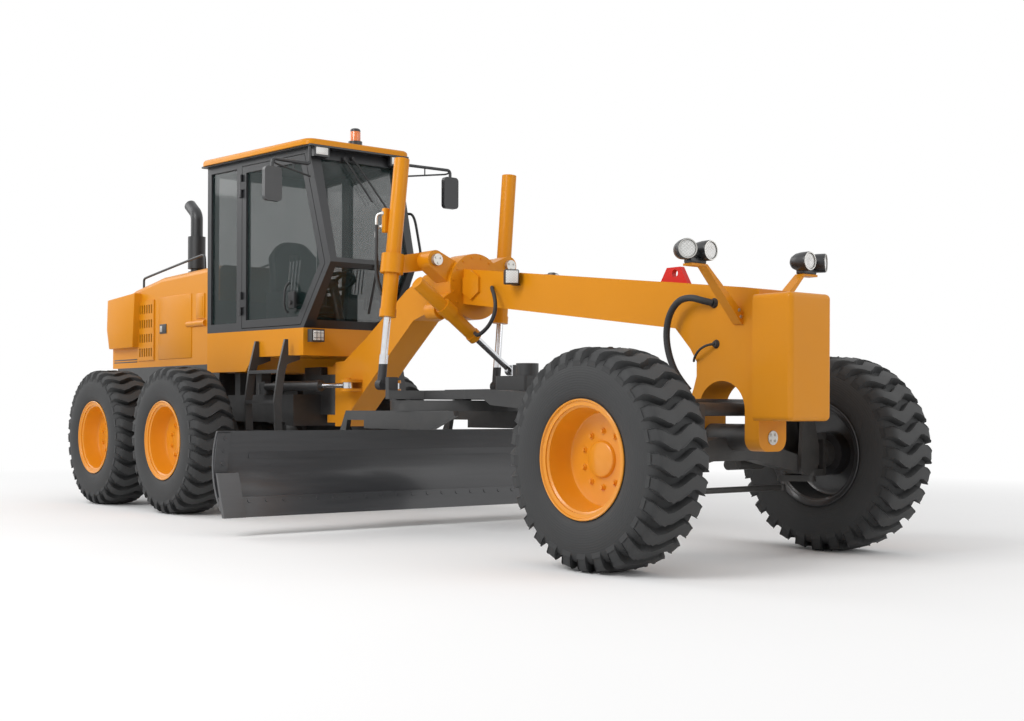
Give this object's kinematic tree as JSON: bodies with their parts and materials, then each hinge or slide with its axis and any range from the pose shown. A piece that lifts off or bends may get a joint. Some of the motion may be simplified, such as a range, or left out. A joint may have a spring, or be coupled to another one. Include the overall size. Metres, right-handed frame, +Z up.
{
  "type": "motor grader",
  "caption": "Articulated road grader with an arched front frame, glazed cab, tandem-driven rear wheels, leaning and steered front wheels and a long blade on a turning circle.",
  "frame": {"origin": "on the ground, below the middle of the overall length and width", "axes": "+X forward, +Y to the machine's left, +Z up"},
  "size_m": [9.062, 3.83, 3.442],
  "materials": {
    "tyre": "matte rubber",
    "rim": "gloss deep yellow paint",
    "yellow": "gloss yellow paint",
    "black": "satin black paint",
    "glass": "clear grey-green glass",
    "chrome": "polished rod",
    "seat": "dark woven cover",
    "plastic": "matte black",
    "cast": "dark painted casting"
  },
  "bodies": {
    "rear": {"rear_frame": "black", "rear_axle": "cast", "engine": "cast", "engine_hood": "yellow", "exhaust_stack": "black", "ladders": "black", "cab_base": "yellow", "cab_frame": "black", "cab_glass": "glass", "cab_roof": "yellow", "cab_seat": "seat", "cab_console": "plastic", "mirrors_and_lamps": "plastic"},
    "front": {"front_frame": "yellow", "saddle": "yellow", "nose_weight": "yellow", "headlamps": "plastic"},
    "axle": {"front_axle": "cast"},
    "drawbar_ball": {"drawbar_ball": "cast"},
    "drawbar": {"drawbar": "black"},
    "circle": {"circle": "black"},
    "blade_carriage": {"blade_carriage": "black"},
    "blade": {"moldboard": "black"},
    "lean_bar": {"lean_bar": "cast"},
    "lean_rod": {"lean_rod": "chrome"},
    "tie_rod": {"tie_rod": "cast"},
    "centre_barrel": {"centre_barrel": "yellow"},
    "centre_rod": {"centre_rod": "chrome"},
    "tandem_right": {"tandem_right": "black"},
    "wheel_mid_right": {"tyre_mid_right": "tyre", "rim_mid_right": "rim"},
    "wheel_rear_right": {"tyre_rear_right": "tyre", "rim_rear_right": "rim"},
    "door_right": {"door_right": "black", "door_glass_right": "glass"},
    "swing_barrel_right": {"swing_barrel_right": "black"},
    "swing_rod_right": {"swing_rod_right": "chrome"},
    "tandem_left": {"tandem_left": "black"},
    "wheel_mid_left": {"tyre_mid_left": "tyre", "rim_mid_left": "rim"},
    "wheel_rear_left": {"tyre_rear_left": "tyre", "rim_rear_left": "rim"},
    "door_left": {"door_left": "black", "door_glass_left": "glass"},
    "swing_barrel_left": {"swing_barrel_left": "black"},
    "swing_rod_left": {"swing_rod_left": "chrome"},
    "lean_bracket_right": {"lean_bracket_right": "cast"},
    "knuckle_right": {"knuckle_right": "cast"},
    "wheel_front_right": {"tyre_front_right": "tyre", "rim_front_right": "rim"},
    "steering_rod_right": {"steering_rod_right": "chrome"},
    "lean_bracket_left": {"lean_bracket_left": "cast"},
    "knuckle_left": {"knuckle_left": "cast"},
    "wheel_front_left": {"tyre_front_left": "tyre", "rim_front_left": "rim"},
    "steering_rod_left": {"steering_rod_left": "chrome"},
    "lift_barrel_right": {"lift_barrel_right": "yellow"},
    "lift_rod_right": {"lift_rod_right": "chrome"},
    "lift_barrel_left": {"lift_barrel_left": "yellow"},
    "lift_rod_left": {"lift_rod_left": "chrome"}
  },
  "joints": [
    {"name": "articulation", "type": "hinge", "parent": "rear", "child": "front", "pos_m": [-0.681, 0, 1.08], "axis": [0, 0, 1], "range_deg": [-27, 27]},
    {"name": "tandem_pivot_right", "type": "hinge", "parent": "rear", "child": "tandem_right", "pos_m": [-2.401, -0.8, 0.662], "axis": [0, 1, 0], "range_deg": [-15, 15]},
    {"name": "roll_mid_right", "type": "hinge", "parent": "tandem_right", "child": "wheel_mid_right", "pos_m": [-1.632, -1.082, 0.662], "axis": [0, 1, 0], "continuous": true},
    {"name": "roll_rear_right", "type": "hinge", "parent": "tandem_right", "child": "wheel_rear_right", "pos_m": [-3.17, -1.082, 0.662], "axis": [0, 1, 0], "continuous": true},
    {"name": "door_right_hinge", "type": "hinge", "parent": "rear", "child": "door_right", "pos_m": [-1.419, -0.60684, 2.4], "axis": [0, 0, -1], "range_deg": [0, 85]},
    {"name": "swing_cylinder_right", "type": "hinge", "parent": "rear", "child": "swing_barrel_right", "pos_m": [-1.281, -0.43, 1.155], "axis": [0, 0, 1], "range_deg": [-12, 12]},
    {"name": "swing_stroke_right", "type": "slide", "parent": "swing_barrel_right", "child": "swing_rod_right", "axis": [0.9863, 0.1651, 0], "range_m": [-0.16, 0.16]},
    {"name": "tandem_pivot_left", "type": "hinge", "parent": "rear", "child": "tandem_left", "pos_m": [-2.401, 0.8, 0.662], "axis": [0, 1, 0], "range_deg": [-15, 15]},
    {"name": "roll_mid_left", "type": "hinge", "parent": "tandem_left", "child": "wheel_mid_left", "pos_m": [-1.632, 1.082, 0.662], "axis": [0, 1, 0], "continuous": true},
    {"name": "roll_rear_left", "type": "hinge", "parent": "tandem_left", "child": "wheel_rear_left", "pos_m": [-3.17, 1.082, 0.662], "axis": [0, 1, 0], "continuous": true},
    {"name": "door_left_hinge", "type": "hinge", "parent": "rear", "child": "door_left", "pos_m": [-1.419, 0.60684, 2.4], "axis": [0, 0, 1], "range_deg": [0, 85]},
    {"name": "swing_cylinder_left", "type": "hinge", "parent": "rear", "child": "swing_barrel_left", "pos_m": [-1.281, 0.43, 1.155], "axis": [0, 0, 1], "range_deg": [-12, 12]},
    {"name": "swing_stroke_left", "type": "slide", "parent": "swing_barrel_left", "child": "swing_rod_left", "axis": [0.9863, -0.1651, 0], "range_m": [-0.16, 0.16]},
    {"name": "axle_oscillation", "type": "hinge", "parent": "front", "child": "axle", "pos_m": [3.869, 0, 0.784], "axis": [1, 0, 0], "range_deg": [-15, 15]},
    {"name": "lean_right", "type": "hinge", "parent": "axle", "child": "lean_bracket_right", "pos_m": [3.869, -0.69, 0.59], "axis": [-1, 0, 0], "range_deg": [-17, 17]},
    {"name": "steer_right", "type": "hinge", "parent": "lean_bracket_right", "child": "knuckle_right", "pos_m": [3.869, -0.83, 0.662], "axis": [0, 0, 1], "range_deg": [-50, 50]},
    {"name": "roll_front_right", "type": "hinge", "parent": "knuckle_right", "child": "wheel_front_right", "pos_m": [3.869, -1.082, 0.662], "axis": [0, 1, 0], "continuous": true},
    {"name": "steering_stroke_right", "type": "slide", "parent": "axle", "child": "steering_rod_right", "axis": [0, 1, 0], "range_m": [-0.13, 0.13]},
    {"name": "lean_left", "type": "hinge", "parent": "axle", "child": "lean_bracket_left", "pos_m": [3.869, 0.69, 0.59], "axis": [-1, 0, 0], "range_deg": [-17, 17]},
    {"name": "steer_left", "type": "hinge", "parent": "lean_bracket_left", "child": "knuckle_left", "pos_m": [3.869, 0.83, 0.662], "axis": [0, 0, 1], "range_deg": [-50, 50]},
    {"name": "roll_front_left", "type": "hinge", "parent": "knuckle_left", "child": "wheel_front_left", "pos_m": [3.869, 1.082, 0.662], "axis": [0, 1, 0], "continuous": true},
    {"name": "steering_stroke_left", "type": "slide", "parent": "axle", "child": "steering_rod_left", "axis": [0, 1, 0], "range_m": [-0.13, 0.13]},
    {"name": "lean_bar_pin", "type": "hinge", "parent": "lean_bracket_right", "child": "lean_bar", "pos_m": [3.869, -0.69, 1], "axis": [-1, 0, 0], "range_deg": [-17, 17]},
    {"name": "lean_stroke", "type": "slide", "parent": "axle", "child": "lean_rod", "axis": [0, 1, 0], "range_m": [-0.11, 0.11]},
    {"name": "tie_rod_shift", "type": "slide", "parent": "axle", "child": "tie_rod", "axis": [0, 1, 0], "range_m": [-0.13, 0.13]},
    {"name": "drawbar_swing", "type": "hinge", "parent": "front", "child": "drawbar_ball", "pos_m": [3.549, 0, 0.87], "axis": [0, 0, 1], "range_deg": [-6, 6]},
    {"name": "drawbar_lift", "type": "hinge", "parent": "drawbar_ball", "child": "drawbar", "pos_m": [3.549, 0, 0.87], "axis": [-0.0542, 0.9985, 0], "range_deg": [-12, 6]},
    {"name": "circle_turn", "type": "hinge", "parent": "drawbar", "child": "circle", "pos_m": [1.2624, -0.1242, 0.98], "axis": [0, 0, 1], "continuous": true},
    {"name": "blade_tip", "type": "hinge", "parent": "circle", "child": "blade_carriage", "pos_m": [0.3824, -0.1242, 0.42], "axis": [0, 1, 0], "range_deg": [-12, 25]},
    {"name": "blade_shift", "type": "slide", "parent": "blade_carriage", "child": "blade", "axis": [0, -1, 0], "range_m": [-0.6, 0.6]},
    {"name": "lift_yoke_right", "type": "hinge", "parent": "front", "child": "lift_barrel_right", "pos_m": [1.029, -0.37, 2.112], "axis": [1, 0, 0], "range_deg": [-15.5, 15.5]},
    {"name": "lift_stroke_right", "type": "slide", "parent": "lift_barrel_right", "child": "lift_rod_right", "axis": [0, -0.1064, -0.9943], "range_m": [-0.27, 0.535]},
    {"name": "lift_yoke_left", "type": "hinge", "parent": "front", "child": "lift_barrel_left", "pos_m": [1.029, 0.37, 2.112], "axis": [1, 0, 0], "range_deg": [-15.5, 15.5]},
    {"name": "lift_stroke_left", "type": "slide", "parent": "lift_barrel_left", "child": "lift_rod_left", "axis": [0, -0.0766, -0.9971], "range_m": [-0.27, 0.535]},
    {"name": "centre_trunnion", "type": "hinge", "parent": "front", "child": "centre_barrel", "pos_m": [1.364, -0.347, 1.72], "axis": [1, 0, 0], "range_deg": [-23, 11.5]},
    {"name": "centre_stroke", "type": "slide", "parent": "centre_barrel", "child": "centre_rod", "axis": [0, 0.8181, -0.5751], "range_m": [-0.19, 0.19]}
  ],
  "couplings": [
    {"joint": "swing_cylinder_right", "follows": "articulation", "ratio": 0.405},
    {"joint": "swing_stroke_right", "follows": "articulation", "m_per_rad": 0.3215},
    {"joint": "swing_cylinder_left", "follows": "articulation", "ratio": 0.405},
    {"joint": "swing_stroke_left", "follows": "articulation", "m_per_rad": -0.3215},
    {"joint": "steering_stroke_right", "follows": "steer_right", "m_per_rad": -0.13167},
    {"joint": "steering_stroke_left", "follows": "steer_right", "m_per_rad": -0.13167},
    {"joint": "lean_left", "follows": "lean_right", "ratio": 1},
    {"joint": "lean_bar_pin", "follows": "lean_right", "ratio": -1},
    {"joint": "lean_stroke", "follows": "lean_right", "m_per_rad": 0.3646},
    {"joint": "steer_left", "follows": "steer_right", "ratio": 1},
    {"joint": "tie_rod_shift", "follows": "steer_right", "m_per_rad": -0.13167},
    {"joint": "lift_yoke_right", "follows": "drawbar_swing", "ratio": -2.54},
    {"joint": "lift_stroke_right", "follows": "drawbar_lift", "m_per_rad": -2.54},
    {"joint": "lift_yoke_left", "follows": "drawbar_swing", "ratio": -2.54},
    {"joint": "lift_stroke_left", "follows": "drawbar_lift", "m_per_rad": -2.54},
    {"joint": "centre_trunnion", "follows": "drawbar_lift", "ratio": 1.9},
    {"joint": "centre_stroke", "follows": "drawbar_swing", "m_per_rad": -1.79}
  ]
}
